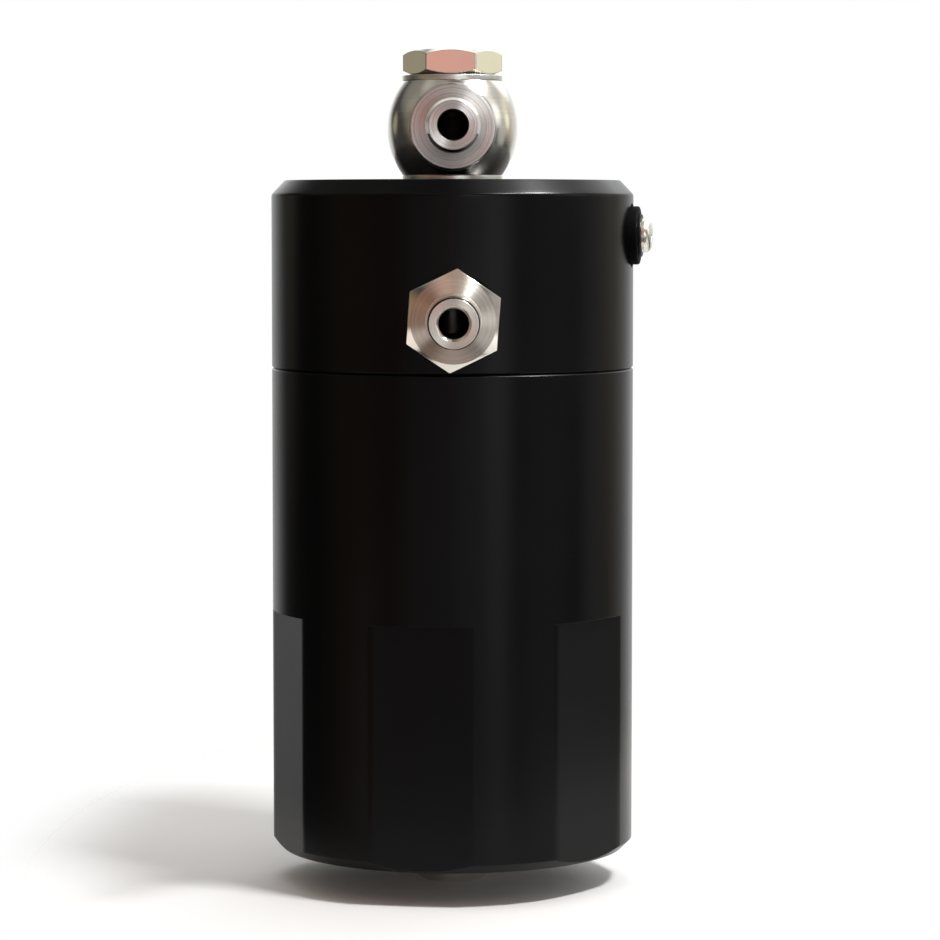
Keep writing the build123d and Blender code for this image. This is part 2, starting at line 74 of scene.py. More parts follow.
# An axis that a piece is turned on: its origin, the way it points, and the two ways across it
Axis = namedtuple("Axis", "origin along right up")
CAN_AXIS = Axis((0, 0, 0), (0, 0, 1), (1, 0, 0), (0, 1, 0))
TAIL_AXIS = Axis((0, 0, BANJO_MIDDLE), (0, -1, 0), (1, 0, 0), (0, 0, 1))
INLET_AXIS = Axis((0, 0, INLET_LEVEL), (0, -1, 0), (1, 0, 0), (0, 0, 1))
mount_way = MOUNTS["bracket_point"]["axis"]
MOUNT_AXIS = Axis(MOUNTS["bracket_point"]["pos_m"], mount_way, (-mount_way[1], mount_way[0], 0), (0, 0, 1))

# Shared sizes of the fittings
HEXAGON = 19.0 * MM
HEXAGON_FACE_SHARE = 0.95
HEXAGON_FACE_MARGIN = 0.005
HEXAGON_CONE = math.tan(math.radians(30))
PORT_RADIUS = 7.0 * MM
FASTENER_RADIUS = 6.95 * MM
BARB_COUNT = 3
BARB_LAND = 0.6 * MM
TIP_LEAD = 1.7 * MM

# Finish of the edges
SHARP_ANGLE = math.radians(17)
MERGE_DISTANCE = 0.0005 * MM
FINE_EDGE = 0.08 * MM
EDGE = 0.15 * MM
SOFT_EDGE = 0.3 * MM

# Eased corners: points on a curve, the share of a side that it may take, and how far back the point lies that
# keeps the side flat, in cuts and at most as a share of the side
CURVE_STEPS = 8
CURVE_LIMIT = 0.4
BACK_SPAN = 3
BACK_LIMIT = 0.48
LEAST_LENGTH = 1e-6 * MM

# Screw threads: rows of points, the stretch and drop that flatten crest and root, and how near a row must lie
THREAD_ROWS = 64
THREAD_STRETCH = 1.5
THREAD_DROP = 0.2
ON_CYLINDER = 0.001 * MM


def round_angles(count):
    """Evenly spaced angles round an axis."""
    return np.linspace(0, FULL_TURN, count, endpoint=False)


def hexagon_angles(corner, count=26, crowding=2.2):
    """Angles round a hexagon: in each sixth, a power curve of the way from the corner crowds them there."""
    share = np.linspace(-1, 1, count, endpoint=False)
    sixth = np.sign(share) * np.abs(share) ** crowding * math.pi / 6
    return np.concatenate([corner + side * math.pi / 3 + sixth for side in range(6)])


def hexagon_radius(angles, corner, across_flats, crispness=200, least=0.01):
    """Distance from a hexagon's axis to its sides: half its width over a p-norm of the cosines to them, which
    eases the corners."""
    sides = corner + math.pi / 6 + np.arange(6) * math.pi / 3
    reach = np.maximum(np.cos(angles[:, None] - sides), least)
    best = reach.max(axis=1)
    norm = best * ((reach / best[:, None]) ** crispness).sum(axis=1) ** (1 / crispness)
    return across_flats / 2 / norm


def corner_of(node_name, axis):
    """Angle of a hexagon's corner about its axis: the angle of the solid's furthest point."""
    mesh = frame["nodes"][node_name].data
    points = np.empty(len(mesh.vertices) * 3)
    mesh.vertices.foreach_get("co", points)
    arm = points.reshape(-1, 3) - np.array(axis.origin)
    across = arm @ np.array(axis.right)
    upward = arm @ np.array(axis.up)
    furthest = np.argmax(np.hypot(across, upward))
    return math.atan2(upward[furthest], across[furthest])


def eased(corners, angles, closed):
    """Outline of (radius, height) points at each angle, from corners of (radius, height, cut).

    A corner with a cut is a quadratic curve that leaves one side and meets the next at that distance from the
    corner. A point further back on each side keeps the long faces flat up to the curve.
    """
    count = len(angles)
    points = np.stack(
        [np.stack([np.broadcast_to(part, count) for part in (r, h)], axis=1) for r, h, _ in corners], axis=1
    )
    rows = []
    for index, (_, _, cut) in enumerate(corners):
        here = points[:, index]
        if cut == 0 or (not closed and index in (0, len(corners) - 1)):
            rows.append(here[:, None])
            continue
        sides = points[:, index - 1] - here, points[:, (index + 1) % len(corners)] - here
        reach = [np.maximum(np.linalg.norm(side, axis=1, keepdims=True), LEAST_LENGTH) for side in sides]
        ends = [here + side / r * np.minimum(cut, CURVE_LIMIT * r) for side, r in zip(sides, reach)]
        spans = [np.minimum(BACK_SPAN * cut, BACK_LIMIT * r) for r in reach]
        backs = [here + side / r * span for side, r, span in zip(sides, reach, spans)]
        t = np.linspace(0, 1, CURVE_STEPS)[None, :, None]
        leaves, turns, meets = ends[0][:, None], here[:, None], ends[1][:, None]
        curve = (1 - t) ** 2 * leaves + 2 * t * (1 - t) * turns + t**2 * meets
        rows += [backs[0][:, None], curve, backs[1][:, None]]
    return np.concatenate(rows, axis=1)


def threaded(outline, angles, radius, low, high, pitch, depth):
    """Cut a screw thread into the rows of an outline that lie on a cylinder between two heights.

    The depth follows a flattened triangle wave of height over pitch less angle over a full turn, which is a
    right-hand helix, and fades out over one pitch at each end. A negative depth cuts outwards.
    """
    r, h = outline[..., 0], outline[..., 1]
    phase = np.mod(h / pitch - angles[:, None] / FULL_TURN, 1)
    wave = np.clip(THREAD_STRETCH * (1 - np.abs(2 * phase - 1)) - THREAD_DROP, 0, 1)
    fade = np.clip((h - low) / pitch, 0, 1) * np.clip((high - h) / pitch, 0, 1)
    on_cylinder = np.abs(r - radius) < ON_CYLINDER
    outline[..., 0] = np.where(on_cylinder, r - depth * wave * fade, r)
    return outline


def thread_rows(radius, start, end):
    """Corners with no cut along a cylinder, close enough together to carry a thread."""
    return [(radius, height, 0) for height in np.linspace(start, end, THREAD_ROWS)]


def finish_mesh(mesh):
    """Close the seams and poles, turn the faces outwards, and smooth all but the sharp edges."""
    shell = bmesh.new()
    shell.from_mesh(mesh)
    bmesh.ops.remove_doubles(shell, verts=shell.verts, dist=MERGE_DISTANCE)
    bmesh.ops.dissolve_degenerate(shell, edges=shell.edges, dist=MERGE_DISTANCE)
    bmesh.ops.recalc_face_normals(shell, faces=shell.faces)
    shell.to_mesh(mesh)
    shell.free()
    mesh.shade_smooth()
    mesh.set_sharp_from_angle(angle=SHARP_ANGLE)


def lathe(name, outline, angles, axis, closed):
    """Turned surface: at angle a, point (r, h) goes to origin + h along + r (cos a right + sin a up)."""
    r, h = outline[..., 0], outline[..., 1]
    origin, along, right, up = (np.array(part, float) for part in axis)
    ways = np.cos(angles)[:, None, None] * right + np.sin(angles)[:, None, None] * up
    points = origin + h[..., None] * along + r[..., None] * ways
    count, length = r.shape
    a, p = np.meshgrid(np.arange(count), np.arange(length if closed else length - 1), indexing="ij")
    b, q = (a + 1) % count, (p + 1) % length
    quads = np.stack([a * length + p, b * length + p, b * length + q, a * length + q], axis=-1)
    mesh = bpy.data.meshes.new(name)
    mesh.from_pydata(points.reshape(-1, 3), [], quads.reshape(-1, 4))
    finish_mesh(mesh)
    piece = bpy.data.objects.new(name, mesh)
    bpy.context.scene.collection.objects.link(piece)
    return piece


def turned(name, corners, angles, axis=CAN_AXIS, closed=True):
    """Turned piece from the corners of its outline, closed round a bore or open from axis to axis."""
    return lathe(name, eased(corners, angles, closed), angles, axis, closed)


def cut_or_join(piece, tools, operation):
    """Cut tools out of a piece or join them to it, then throw the tools away."""
    for tool in tools:
        modifier = piece.modifiers.new(tool.name, "BOOLEAN")
        modifier.operation = operation
        modifier.solver = "EXACT"
        modifier.object = tool
    result = bpy.data.meshes.new_from_object(piece.evaluated_get(bpy.context.evaluated_depsgraph_get()))
    piece.modifiers.clear()
    piece.data = result
    for tool in tools:
        bpy.data.objects.remove(tool)
    finish_mesh(result)
    return piece


def barbs(start, end, root, crest, tip, pitch):
    """Corners of a hose tail: a plain root, then barbs that rise square to a crest and slope forward."""
    first = end - BARB_COUNT * pitch
    corners = [(root, start, FINE_EDGE), (root, first, FINE_EDGE)]
    for index in range(BARB_COUNT):
        back = first + index * pitch
        is_last = index == BARB_COUNT - 1
        land_end = end - TIP_LEAD if is_last else back + BARB_LAND
        front = tip if is_last else root
        barb = (crest, back), (crest, land_end), (front, back + pitch)
        corners += [(*point, FINE_EDGE) for point in barb]
    return corners


def hexagon_corners(angles, corner, across_flats, low, high):
    """Corners of a hexagon whose ends are turned off by cones: the cone's edge drops as the side runs out."""
    side = hexagon_radius(angles, corner, across_flats)
    face = across_flats / 2 * HEXAGON_FACE_SHARE
    drop = (side - face) * HEXAGON_CONE
    return [
        (face, low, EDGE),
        (side, low + drop, FINE_EDGE),
        (side, high - drop, FINE_EDGE),
        (face, high, EDGE),
    ]


def ring_corners(bore, outer, low, high, cut):
    """Corners of a ring's square section, all eased alike."""
    return [(bore, low, cut), (outer, low, cut), (outer, high, cut), (bore, high, cut)]


def placed(piece, node_name, body, material):
    """Ride on a body, stand for a node, and take a material."""
    piece.data.materials.clear()
    piece.data.materials.append(material)
    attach(piece, body)
    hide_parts(node_name)
    return piece


def arms_of(points, axis):
    """Heights along an axis and distances from it, for an array of points."""
    arm = points - np.array(axis.origin)
    height = arm @ np.array(axis.along)
    return height, np.linalg.norm(arm - height[:, None] * np.array(axis.along), axis=1)


def hexagon_sides(axis, across_flats):
    """Rule that picks a hexagon's sides and the cones at its corners: all outside its turned faces."""

    def rule(centres):
        """Whether each centre lies further out than the turned faces."""
        _, distance = arms_of(centres, axis)
        return distance > across_flats / 2 * (HEXAGON_FACE_SHARE + HEXAGON_FACE_MARGIN)

    return rule


def more_materials(piece, *choices):
    """Give further materials to the faces that rules on their centres pick, each over the ones before it."""
    faces = piece.data.polygons
    centres = np.empty(len(faces) * 3)
    faces.foreach_get("center", centres)
    index = np.zeros(len(faces), np.int32)
    for material, rule in choices:
        piece.data.materials.append(material)
        index[rule(centres.reshape(-1, 3))] = len(piece.data.materials) - 1
    faces.foreach_set("material_index", index)


# Materials
def linear(hex_colour):
    """sRGB hex colour as linear red, green, blue and alpha."""
    channels = [int(hex_colour[i : i + 2], 16) / 255 for i in (1, 3, 5)]
    return tuple(c / 12.92 if c <= 0.04045 else ((c + 0.055) / 1.055) ** 2.4 for c in channels) + (1.0,)


def node(tree, kind, links, **settings):
    """Add a node: settings are its own properties, links give each input a value or another node's output."""
    made = tree.nodes.new(kind)
    for name, value in settings.items():
        setattr(made, name, value)
    for name, value in links.items():
        if isinstance(value, bpy.types.NodeSocket):
            tree.links.new(value, made.inputs[name])
        else:
            made.inputs[name].default_value = value
    return made


def new_material(name):
    """Material with an empty node tree, and that tree to build in."""
    material = bpy.data.materials.new(name)
    material.use_nodes = True
    tree = material.node_tree
    tree.nodes.clear()
    return material, tree


def polar(tree, axis):
    """Place of a point in Object coordinates, and its radius, height and circling direction about an axis."""
    place = node(tree, "ShaderNodeTexCoord", {}).outputs["Object"]
    arm = node(tree, "ShaderNodeVectorMath", {0: place, 1: axis.origin}, operation="SUBTRACT")
    pair = {0: axis.along, 1: arm.outputs["Vector"]}
    round_way = node(tree, "ShaderNodeVectorMath", pair, operation="CROSS_PRODUCT").outputs["Vector"]
    radius = node(tree, "ShaderNodeVectorMath", {0: round_way}, operation="LENGTH").outputs["Value"]
    height = node(tree, "ShaderNodeVectorMath", pair, operation="DOT_PRODUCT").outputs["Value"]
    return place, radius, height, round_way


def lathe_marks(tree, radius, height, pitch):
    """Marks of the turning tool: noise along radius plus height, so they ring every face the tool crossed."""
    run = node(tree, "ShaderNodeMath", {0: radius, 1: height}, operation="ADD").outputs["Value"]
    marks = {"W": run, "Scale": 1 / pitch, "Detail": 2.0}
    return node(tree, "ShaderNodeTexNoise", marks, noise_dimensions="1D").outputs["Fac"]


def shaded(tree, shades, roughness, relief, others):
    """Shader of a finish, joined to the material's output.

    Shades and roughness each give a pattern and the two values it goes between. Relief gives a pattern, its
    strength and its depth. Others gives what the shader's other sockets hold.
    """
    pattern, dark, pale = shades
    ends = {"Factor": pattern, "A": linear(dark), "B": linear(pale)}
    colour = node(tree, "ShaderNodeMix", ends, data_type="RGBA").outputs["Result"]
    pattern, low, high = roughness
    ends = {"Value": pattern, "To Min": low, "To Max": high}
    rough = node(tree, "ShaderNodeMapRange", ends).outputs["Result"]
    pattern, strength, depth = relief
    bump = node(tree, "ShaderNodeBump", {"Height": pattern, "Strength": strength, "Distance": depth})
    sockets = {"Base Color": colour, "Roughness": rough, "Normal": bump.outputs["Normal"], **others}
    shader = node(tree, "ShaderNodeBsdfPrincipled", sockets)
    node(tree, "ShaderNodeOutputMaterial", {"Surface": shader.outputs["BSDF"]})


# Patterns of the finishes. On the real pieces the tool's marks and the lines of drawn bar are about 0.1 mm
# apart, and the grain of the other faces is a few hundredths of a millimetre. Both are drawn coarser, so that
# they show.
TURNING_MARK = 0.4 * MM
BODY_MARK = 0.35 * MM
SOFT_MARK = 0.3 * MM
DRAWN_LINE = 0.3 * MM
ETCHED_GRAIN = 0.4 * MM
BORED_GRAIN = 0.15 * MM
MOULDED_GRAIN = 0.12 * MM
BLACKENED_GRAIN = 0.08 * MM
# Patches over which a finish varies
DYE_PATCH = 18.0 * MM
WEAR_PATCH = 5.0 * MM
METAL_PATCH = 4.0 * MM
DULL_PATCH = 3.0 * MM
# Depths of the reliefs
FAINT_DEPTH = 0.004 * MM
MARK_DEPTH = 0.008 * MM
GRAIN_DEPTH = 0.015 * MM
WIRE_DEPTH = 0.3 * MM
# The waves of the wire pad repeat about three times in this length, so its loops are 2.5 mm apart
WIRE_WAVE = 8.0 * MM
# Turn of a shader's spread, in full turns, that carries reflections across the tool's rings
ACROSS_RINGS = 0.25


def black_anodised_aluminium():
    """Satin black anodising over turned aluminium: a clear hard oxide over dyed pores that swallow most of
    its gloss, so it is near black in front and mirrors pale surroundings at a slant, with faint lathe rings
    and etched grain."""
    material, tree = new_material("black_anodised_aluminium")
    place, radius, height, _ = polar(tree, CAN_AXIS)
    rings = lathe_marks(tree, radius, height, BODY_MARK)
    grain, patches = (
        node(tree, "ShaderNodeTexNoise", {"Vector": place, "Scale": 1 / size, "Detail": fine}).outputs["Fac"]
        for size, fine in ((ETCHED_GRAIN, 3.0), (DYE_PATCH, 2.0))
    )
    texture = node(tree, "ShaderNodeMath", {0: rings, 1: grain}, operation="ADD").outputs["Value"]
    shaded(
        tree,
        shades=(patches, "#040405", "#080808"),
        roughness=(patches, 0.22, 0.28),
        relief=(texture, 0.25, FAINT_DEPTH),
        others={"IOR": 1.6, "Specular IOR Level": 0.09},
    )
    return material


def turned_stainless(name, axis, shades, roughness, spread):
    """Bright turned stainless steel: fine rings from the tool spread its reflections across the rings, so a
    flat face shows them as fans from its middle."""
    material, tree = new_material(name)
    place, radius, height, round_way = polar(tree, axis)
    rings = lathe_marks(tree, radius, height, TURNING_MARK)
    cloud = {"Vector": place, "Scale": 1 / WEAR_PATCH, "Detail": 3.0}
    patches = node(tree, "ShaderNodeTexNoise", cloud).outputs["Fac"]
    wear = node(tree, "ShaderNodeMath", {0: rings, 1: patches}, operation="MULTIPLY").outputs["Value"]
    tangent = node(
        tree, "ShaderNodeVectorTransform", {"Vector": round_way}, convert_from="OBJECT", convert_to="WORLD"
    )
    shaded(
        tree,
        shades=(rings, *shades),
        roughness=(wear, *roughness),
        relief=(rings, 0.35, MARK_DEPTH),
        others={
            "Metallic": 1.0,
            "Anisotropic": spread,
            "Anisotropic Rotation": ACROSS_RINGS,
            "Tangent": tangent.outputs["Vector"],
        },
    )
    return material


def drawn_stainless(name, axis):
    """Bright drawn hexagon bar: smooth sides that mirror the room, with faint lines along the draw."""
    material, tree = new_material(name)
    place, _, _, round_way = polar(tree, axis)
    lines, patches = (
        node(tree, "ShaderNodeTexNoise", {"Vector": where, "Scale": 1 / size, "Detail": fine}).outputs["Fac"]
        for where, size, fine in ((round_way, DRAWN_LINE, 2.0), (place, METAL_PATCH, 3.0))
    )
    shaded(
        tree,
        shades=(patches, "#CDC8BE", "#DDD9D0"),
        roughness=(patches, 0.1, 0.18),
        relief=(lines, 0.2, FAINT_DEPTH),
        others={"Metallic": 1.0},
    )
    return material


def soft_aluminium():
    """Plain soft aluminium, as sawn, drilled or pressed: a pale satin metal with fine scratches."""
    material, tree = new_material("soft_aluminium")
    place, radius, height, _ = polar(tree, CAN_AXIS)
    cloud = {"Vector": place, "Scale": 1 / METAL_PATCH, "Detail": 4.0}
    patches = node(tree, "ShaderNodeTexNoise", cloud).outputs["Fac"]
    shaded(
        tree,
        shades=(patches, "#BDBCB8", "#D0CFCB"),
        roughness=(patches, 0.24, 0.4),
        relief=(lathe_marks(tree, radius, height, SOFT_MARK), 0.3, MARK_DEPTH),
        others={"Metallic": 1.0},
    )
    return material


def dull_finish(name, shades, roughness, grain, metallic, gloss):
    """Dull rubber, blackened steel, or bored steel darkened as painted shade: a fine grain over a colour that
    varies a little.
    """
    material, tree = new_material(name)
    place = node(tree, "ShaderNodeTexCoord", {}).outputs["Object"]
    pores, patches = (
        node(tree, "ShaderNodeTexNoise", {"Vector": place, "Scale": 1 / size, "Detail": fine}).outputs["Fac"]
        for size, fine in ((grain, 4.0), (DULL_PATCH, 2.0))
    )
    shaded(
        tree,
        shades=(patches, *shades),
        roughness=(pores, *roughness),
        relief=(pores, 0.4, GRAIN_DEPTH),
        others={"Metallic": metallic, "Specular IOR Level": gloss},
    )
    return material


def knitted_wire():
    """Pad of knitted steel wire: crossing waves of wire stand in relief, with painted shade between them and
    the steel's own pale colour on top.
    """
    material, tree = new_material("knitted_wire")
    place = node(tree, "ShaderNodeTexCoord", {}).outputs["Object"]
    wave = {"Vector": place, "Scale": 1 / WIRE_WAVE, "Distortion": 3.0, "Detail": 2.0, "Detail Scale": 2.0}
    loops = [
        node(tree, "ShaderNodeTexWave", wave, bands_direction=way).outputs["Fac"] for way in ("X", "Y", "Z")
    ]
    crossing = node(tree, "ShaderNodeMath", {0: loops[0], 1: loops[1]}, operation="MAXIMUM").outputs["Value"]
    wires = node(tree, "ShaderNodeMath", {0: crossing, 1: loops[2]}, operation="MULTIPLY").outputs["Value"]
    # The dark colour between the wires is painted shade
    shaded(
        tree,
        shades=(wires, "#2A2A29", "#C4C2BC"),
        roughness=(wires, 0.6, 0.3),
        relief=(wires, 0.9, WIRE_DEPTH),
        others={"Metallic": 1.0},
    )
    return material


# Shades of turned steel: clear rings on the tail's faces, and nearly even on the rest
RINGED = ("#989694", "#F0EFEE")
EVEN = ("#CFCBC2", "#DEDAD2")
# Roughness of polished steel, from its smoothest patches to its roughest
POLISHED = (0.1, 0.18)
anodised = black_anodised_aluminium()
tail_steel = turned_stainless("turned_stainless_of_the_tail", TAIL_AXIS, RINGED, (0.22, 0.32), spread=0.9)
inlet_steel = turned_stainless("turned_stainless_of_the_inlet", INLET_AXIS, EVEN, (0.22, 0.28), spread=0.8)
tail_polish = turned_stainless("polished_stainless_of_the_tail", TAIL_AXIS, EVEN, POLISHED, spread=0.3)
inlet_polish = turned_stainless("polished_stainless_of_the_inlet", INLET_AXIS, EVEN, POLISHED, spread=0.3)
upright_steel = turned_stainless(
    "polished_stainless_on_the_can_axis", CAN_AXIS, EVEN, (0.16, 0.28), spread=0.3
)
screw_steel = turned_stainless("polished_stainless_of_the_screw", MOUNT_AXIS, EVEN, (0.24, 0.36), spread=0.3)
upright_bar = drawn_stainless("drawn_stainless_on_the_can_axis", CAN_AXIS)
inlet_bar = drawn_stainless("drawn_stainless_of_the_inlet", INLET_AXIS)
aluminium = soft_aluminium()
# Steel darkened as painted shade in the bores, on the tail bore's chamfer and on the bolt's hidden shank
bore_painted_shade = dull_finish(
    "bored_stainless_painted_shade", ("#4A453F", "#5E5850"), (0.42, 0.58), BORED_GRAIN, metallic=1.0, gloss=0.5
)
rubber = dull_finish(
    "black_nitrile_rubber", ("#050505", "#0A0A0A"), (0.52, 0.68), MOULDED_GRAIN, metallic=0.0, gloss=0.03
)
black_steel = dull_finish(
    "blackened_steel", ("#08080A", "#0E0E10"), (0.34, 0.5), BLACKENED_GRAIN, metallic=0.0, gloss=0.15
)
wire = knitted_wire()


# Head: cap with ports, mounting pocket and screwed spigot
HEAD_STEPS = 300
HEAD_CHAMFER = 3.0 * MM
CHAMFER_DROP = 0.15 * MM
CHAMFER_EDGE = 0.45 * MM
JOINT_CHAMFER = 0.4 * MM
SPIGOT_RADIUS = 35.85 * MM
SPIGOT_LEAD = 1.0 * MM
CAVITY_RADIUS = 31.35 * MM
HEAD_TOP_WALL = 16.0 * MM
CEILING_FILLET = 2.0 * MM
SOCKET_RADIUS = 8.05 * MM
SOCKET_DEPTH = 5.0 * MM
GROOVE_DEPTH = 1.7 * MM
GROOVE_WIDTH = 2.6 * MM
GROOVE_DROP = 2.6 * MM
THREAD_PITCH = 2.0 * MM
THREAD_DEPTH = 0.9 * MM
THREAD_RELIEF = 0.6 * MM
PORT_STEPS = 120
SPOT_FACE_RADIUS = 10.0 * MM
POCKET_STEPS = 96
POCKET_RADIUS = 7.0 * MM
POCKET_DEPTH = 1.5 * MM
POCKET_FLARE = 0.2 * MM
TAPPED_RADIUS = 2.05 * MM
TAPPED_DEPTH = 10.0 * MM
TOOL_REACH = 8.0 * MM


def make_head():
    """Turned cap, with the inlet's spot face and port, the mounting pocket and its hole cut from outside.

    The chamfer's lower edge is eased, and lies a little lower, so that its highlight falls in place.
    """
    angles = round_angles(HEAD_STEPS)
    top, end = head_high.z, head_low.z
    groove_top = JOINT_LEVEL - GROOVE_DROP + GROOVE_WIDTH / 2
    groove_bottom = groove_top - GROOVE_WIDTH
    thread_top, thread_bottom = groove_bottom - THREAD_RELIEF, end + SPIGOT_LEAD
    ceiling = top - HEAD_TOP_WALL
    corners = [
        (PORT_RADIUS, top, EDGE),
        (BODY_RADIUS - HEAD_CHAMFER, top, EDGE),
        (BODY_RADIUS, top - HEAD_CHAMFER - CHAMFER_DROP, CHAMFER_EDGE),
        (BODY_RADIUS, JOINT_LEVEL + JOINT_CHAMFER, FINE_EDGE),
        (BODY_RADIUS - JOINT_CHAMFER, JOINT_LEVEL, FINE_EDGE),
        (SPIGOT_RADIUS, JOINT_LEVEL, FINE_EDGE),
        (SPIGOT_RADIUS, groove_top, FINE_EDGE),
        (SPIGOT_RADIUS - GROOVE_DEPTH, groove_top, FINE_EDGE),
        (SPIGOT_RADIUS - GROOVE_DEPTH, groove_bottom, FINE_EDGE),
        (SPIGOT_RADIUS, groove_bottom, FINE_EDGE),
        *thread_rows(SPIGOT_RADIUS, thread_top, thread_bottom),
        (SPIGOT_RADIUS - SPIGOT_LEAD, end, EDGE),
        (CAVITY_RADIUS, end, EDGE),
        (CAVITY_RADIUS, ceiling, CEILING_FILLET),
        (SOCKET_RADIUS, ceiling, EDGE),
        (SOCKET_RADIUS, ceiling + SOCKET_DEPTH, FINE_EDGE),
        (PORT_RADIUS, ceiling + SOCKET_DEPTH, FINE_EDGE),
    ]
    outline = eased(corners, angles, True)
    threaded(outline, angles, SPIGOT_RADIUS, thread_bottom, thread_top, THREAD_PITCH, THREAD_DEPTH)
    head = lathe("cap", outline, angles, CAN_AXIS, True)
    inside, outside = CAVITY_RADIUS - TOOL_REACH, BODY_RADIUS + TOOL_REACH
    inlet_tool = turned(
        "inlet_tool",
        [
            (0, inside, 0),
            (PORT_RADIUS, inside, 0),
            (PORT_RADIUS, INLET_SEAT, 0),
            (SPOT_FACE_RADIUS, INLET_SEAT, 0),
            (SPOT_FACE_RADIUS, outside, 0),
            (0, outside, 0),
        ],
        round_angles(PORT_STEPS),
        INLET_AXIS,
        closed=False,
    )
    rim = POCKET_DEPTH - POCKET_FLARE
    pocket_tool = turned(
        "pocket_tool",
        [
            (0, -TAPPED_DEPTH, 0),
            (TAPPED_RADIUS, -TAPPED_DEPTH, 0),
            (TAPPED_RADIUS, 0, 0),
            (POCKET_RADIUS, 0, 0),
            (POCKET_RADIUS, rim, 0),
            (POCKET_RADIUS + TOOL_REACH, rim + TOOL_REACH, 0),
            (0, rim + TOOL_REACH, 0),
        ],
        round_angles(POCKET_STEPS),
        MOUNT_AXIS,
        closed=False,
    )
    return cut_or_join(head, [inlet_tool, pocket_tool], "DIFFERENCE")


# Bowl: cup with six flats round its lower half, a screwed mouth and a drain hole
FLAT_COUNT = 6
FLAT_STEPS = 16
LAND_STEPS = 28
FLAT_REACH = 38.4 * MM
FLAT_HEIGHT = 53.0 * MM
FRONT_ANGLE = math.radians(-90)
FLAT_OFFSET = math.radians(-10.4)
FLAT_TURN = FRONT_ANGLE + FLAT_OFFSET
FOOT_CHAMFER = 2.0 * MM
MOUTH_RADIUS = 36.0 * MM
MOUTH_LEAD = 0.5 * MM
MOUTH_RELIEF = 1.0 * MM
BOWL_BORE_RADIUS = 34.5 * MM
BOWL_FLOOR = 8.0 * MM
FLOOR_FILLET = 4.0 * MM
DRAIN_RADIUS = 6.0 * MM


def flat_angles():
    """Angles that fall on both edges of every flat and divide the flats and the round lands between them."""
    half_flat = math.acos(FLAT_REACH / BODY_RADIUS)
    pitch = FULL_TURN / FLAT_COUNT
    flat = np.linspace(-half_flat, half_flat, FLAT_STEPS, endpoint=False)
    land = np.linspace(half_flat, pitch - half_flat, LAND_STEPS, endpoint=False)
    both = np.concatenate([flat, land])
    return np.concatenate([FLAT_TURN + index * pitch + both for index in range(FLAT_COUNT)])


def make_bowl():
    """Turned cup: its outside is the nearer of the round wall and the flats, up to the shelf over them."""
    angles = flat_angles()
    half_pitch = math.pi / FLAT_COUNT
    from_flat = np.mod(angles - FLAT_TURN + half_pitch, 2 * half_pitch) - half_pitch
    wall = np.minimum(BODY_RADIUS, FLAT_REACH / np.cos(from_flat))
    foot = BODY_RADIUS - FOOT_CHAMFER
    underside, floor = bowl_low.z, bowl_low.z + BOWL_FLOOR
    shelf = underside + FLAT_HEIGHT
    mouth_end = head_low.z - MOUTH_RELIEF
    thread_top = JOINT_LEVEL - GROOVE_DROP - GROOVE_WIDTH / 2 - THREAD_RELIEF
    corners = [
        (DRAIN_RADIUS, underside, EDGE),
        (foot, underside, EDGE),
        (wall, underside + wall - foot, FINE_EDGE),
        (wall, shelf, FINE_EDGE),
        (BODY_RADIUS, shelf, FINE_EDGE),
        (BODY_RADIUS, JOINT_LEVEL - JOINT_CHAMFER, FINE_EDGE),
        (BODY_RADIUS - JOINT_CHAMFER, JOINT_LEVEL, FINE_EDGE),
        (MOUTH_RADIUS + MOUTH_LEAD, JOINT_LEVEL, FINE_EDGE),
        (MOUTH_RADIUS, JOINT_LEVEL - MOUTH_LEAD, FINE_EDGE),
        *thread_rows(MOUTH_RADIUS, thread_top, mouth_end),
        (BOWL_BORE_RADIUS, mouth_end - (MOUTH_RADIUS - BOWL_BORE_RADIUS), EDGE),
        (BOWL_BORE_RADIUS, floor, FLOOR_FILLET),
        (DRAIN_RADIUS, floor, EDGE),
    ]
    outline = eased(corners, angles, True)
    threaded(outline, angles, MOUTH_RADIUS, mouth_end, thread_top, THREAD_PITCH, -THREAD_DEPTH)
    return lathe("cup", outline, angles, CAN_AXIS, True)


# Banjo, its hollow bolt and their washers
BARREL_STEPS = 400
BARREL_ARC_STEPS = 97
BANJO_SEAT_RADIUS = 10.9 * MM
BANJO_BORE_RADIUS = 7.15 * MM
NECK_STEPS = 240
NECK_RADIUS = 9.5 * MM
NECK_REACH = 17.0 * MM
NECK_CHAMFER = 0.4 * MM
NECK_ROOT = 7.6 * MM
TAIL_ROOT = 4.7 * MM
TAIL_CREST = 5.85 * MM
TAIL_TIP = 5.25 * MM
TAIL_PITCH = 4.2 * MM
TAIL_BORE_STEPS = 120
TAIL_BORE_RADIUS = 3.25 * MM
TAIL_BORE_CHAMFER = 0.2 * MM
BOLT_WAIST_RADIUS = 5.6 * MM
BOLT_WAIST_LENGTH = 11.0 * MM
BOLT_WAIST_TAPER = 1.4 * MM
BOLT_BORE_RADIUS = 3.75 * MM
BOLT_BORE_ROOF = 4.0 * MM
BOLT_CROSS_STEPS = 72
BOLT_CROSS_RADIUS = 2.5 * MM
BOLT_END_CHAMFER = 1.0 * MM
WASHER_STEPS = 144
WASHER_EDGE = 0.2 * MM


